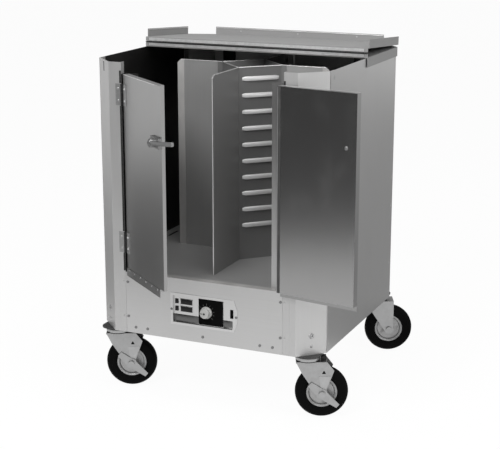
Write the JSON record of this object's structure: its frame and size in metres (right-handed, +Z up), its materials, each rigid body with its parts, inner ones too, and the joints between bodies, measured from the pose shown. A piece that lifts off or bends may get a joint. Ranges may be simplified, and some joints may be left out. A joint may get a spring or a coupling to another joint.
{
  "type": "heated plate cart",
  "caption": "Heated plate cart: chamfered sheet steel cabinet on swivel casters, doors front and rear, folding half lid, slotted warm-air duct and thermostat panel.",
  "frame": {"origin": "on the floor under the middle of the cabinet", "axes": "+Z up, front doors and control panel towards -Y, +X to the right seen from the front"},
  "size_m": [0.8428, 1.0061, 1.0404],
  "materials": {
    "steel_panel": "brushed sheet",
    "hinge_steel": "plated",
    "latch_chrome": "polished",
    "dial_black": "satin black",
    "knob_white": "gloss",
    "motor_paint": "satin",
    "fan_aluminium": "mill",
    "heater_steel": "heat tinted",
    "caster_zinc": "zinc plated",
    "tyre_rubber": "matte",
    "hub_metal": "cast",
    "control_steel": "satin"
  },
  "bodies": {
    "cabinet": {"post_front_left": "steel_panel", "post_front_right": "steel_panel", "post_rear_left": "steel_panel", "post_rear_right": "steel_panel", "side_panel_left": "steel_panel", "side_panel_right": "steel_panel", "bottom_pan": "steel_panel", "deck": "steel_panel", "door_stops": "steel_panel", "air_duct_front": "steel_panel", "air_duct_rear": "steel_panel", "middle_dividers": "steel_panel", "side_wings": "steel_panel", "base_front_panel": "steel_panel", "base_rear_panel": "steel_panel", "panel_screws": "hinge_steel", "control_panel": "control_steel", "dial_plate": "dial_black", "thermostat": "dial_black", "power_switch": "dial_black", "door_hinge_post_leaves": "hinge_steel", "rear_top": "steel_panel", "lid_hinge_fixed_leaf": "hinge_steel", "fan_shroud": "fan_aluminium", "fan_motor": "motor_paint", "heater_element": "heater_steel", "terminal_box": "motor_paint", "power_inlet": "dial_black", "caster_plates": "caster_zinc"},
    "left_door": {"left_door_skin": "steel_panel", "left_door_liner": "steel_panel", "left_door_hinge_leaves": "hinge_steel", "latch_base": "latch_chrome"},
    "latch_lever": {"latch_lever": "latch_chrome"},
    "right_door": {"right_door_skin": "steel_panel", "right_door_liner": "steel_panel", "right_door_hinge_leaves": "hinge_steel", "latch_keeper": "latch_chrome"},
    "rear_door_right": {"rear_door_right": "steel_panel"},
    "rear_latch_lever": {"rear_latch_lever": "latch_chrome"},
    "rear_door_left": {"rear_door_left": "steel_panel"},
    "front_lid": {"front_lid": "steel_panel", "lid_hinge_moving_leaf": "hinge_steel"},
    "thermostat_knob": {"thermostat_knob": "knob_white"},
    "switch_rocker": {"switch_rocker": "dial_black"},
    "fan": {"fan": "fan_aluminium"},
    "caster_front_left": {"caster_fork_front_left": "caster_zinc"},
    "wheel_front_left": {"tyre_front_left": "tyre_rubber", "hub_front_left": "hub_metal"},
    "caster_front_right": {"caster_fork_front_right": "caster_zinc"},
    "wheel_front_right": {"tyre_front_right": "tyre_rubber", "hub_front_right": "hub_metal"},
    "caster_rear_left": {"caster_fork_rear_left": "caster_zinc"},
    "wheel_rear_left": {"tyre_rear_left": "tyre_rubber", "hub_rear_left": "hub_metal"},
    "caster_rear_right": {"caster_fork_rear_right": "caster_zinc"},
    "wheel_rear_right": {"tyre_rear_right": "tyre_rubber", "hub_rear_right": "hub_metal"},
    "brake_front_left": {"brake_lever_front_left": "caster_zinc"},
    "brake_front_right": {"brake_lever_front_right": "caster_zinc"}
  },
  "joints": [
    {"name": "left_door_hinge", "type": "hinge", "parent": "cabinet", "child": "left_door", "pos_m": [-0.244, -0.358, 0.681], "axis": [0, 0, -1], "range_deg": [-38.9, 126]},
    {"name": "right_door_hinge", "type": "hinge", "parent": "cabinet", "child": "right_door", "pos_m": [0.244, -0.358, 0.681], "axis": [0, 0, 1], "range_deg": [-170.5, 4]},
    {"name": "latch_lever_pivot", "type": "hinge", "parent": "left_door", "child": "latch_lever", "pos_m": [-0.06758, -0.52155, 0.802], "axis": [-0.628, -0.7782, 0], "range_deg": [-8, 82]},
    {"name": "rear_door_right_hinge", "type": "hinge", "parent": "cabinet", "child": "rear_door_right", "pos_m": [0.244, 0.358, 0.681], "axis": [0, 0, -1], "range_deg": [0, 165]},
    {"name": "rear_door_left_hinge", "type": "hinge", "parent": "cabinet", "child": "rear_door_left", "pos_m": [-0.244, 0.358, 0.681], "axis": [0, 0, 1], "range_deg": [0, 165]},
    {"name": "rear_latch_lever_pivot", "type": "hinge", "parent": "rear_door_right", "child": "rear_latch_lever", "pos_m": [0.064, 0.3745, 0.802], "axis": [0, 1, 0], "range_deg": [-90, 0]},
    {"name": "lid_hinge", "type": "hinge", "parent": "cabinet", "child": "front_lid", "pos_m": [0, 0.004, 1.003], "axis": [-1, 0, 0], "range_deg": [-184.13, 0]},
    {"name": "thermostat_turn", "type": "hinge", "parent": "cabinet", "child": "thermostat_knob", "pos_m": [0.012, -0.358, 0.2835], "axis": [0, 1, 0], "range_deg": [0, 270]},
    {"name": "switch_rock", "type": "hinge", "parent": "cabinet", "child": "switch_rocker", "pos_m": [0.09, -0.3436, 0.2875], "axis": [1, 0, 0], "range_deg": [-8, 8]},
    {"name": "fan_spin", "type": "hinge", "parent": "cabinet", "child": "fan", "pos_m": [0, 0, 0.306], "axis": [0, 0, 1], "continuous": true},
    {"name": "caster_front_left_swivel", "type": "hinge", "parent": "cabinet", "child": "caster_front_left", "pos_m": [-0.306, -0.304, 0.17], "axis": [0, 0, 1], "continuous": true},
    {"name": "wheel_front_left_spin", "type": "hinge", "parent": "caster_front_left", "child": "wheel_front_left", "pos_m": [-0.26946, -0.28773, 0.076], "axis": [-0.4067, 0.9135, 0], "continuous": true},
    {"name": "brake_front_left_pedal", "type": "hinge", "parent": "caster_front_left", "child": "brake_front_left", "pos_m": [-0.26946, -0.28773, 0.076], "axis": [-0.4067, 0.9135, 0], "range_deg": [-15, 25]},
    {"name": "caster_front_right_swivel", "type": "hinge", "parent": "cabinet", "child": "caster_front_right", "pos_m": [0.306, -0.304, 0.17], "axis": [0, 0, 1], "continuous": true},
    {"name": "wheel_front_right_spin", "type": "hinge", "parent": "caster_front_right", "child": "wheel_front_right", "pos_m": [0.34254, -0.28773, 0.076], "axis": [-0.4067, 0.9135, 0], "continuous": true},
    {"name": "brake_front_right_pedal", "type": "hinge", "parent": "caster_front_right", "child": "brake_front_right", "pos_m": [0.34254, -0.28773, 0.076], "axis": [-0.4067, 0.9135, 0], "range_deg": [-15, 25]},
    {"name": "caster_rear_left_swivel", "type": "hinge", "parent": "cabinet", "child": "caster_rear_left", "pos_m": [-0.306, 0.304, 0.17], "axis": [0, 0, 1], "continuous": true},
    {"name": "wheel_rear_left_spin", "type": "hinge", "parent": "caster_rear_left", "child": "wheel_rear_left", "pos_m": [-0.26946, 0.32027, 0.076], "axis": [-0.4067, 0.9135, 0], "continuous": true},
    {"name": "caster_rear_right_swivel", "type": "hinge", "parent": "cabinet", "child": "caster_rear_right", "pos_m": [0.306, 0.304, 0.17], "axis": [0, 0, 1], "continuous": true},
    {"name": "wheel_rear_right_spin", "type": "hinge", "parent": "caster_rear_right", "child": "wheel_rear_right", "pos_m": [0.34254, 0.32027, 0.076], "axis": [-0.4067, 0.9135, 0], "continuous": true}
  ]
}
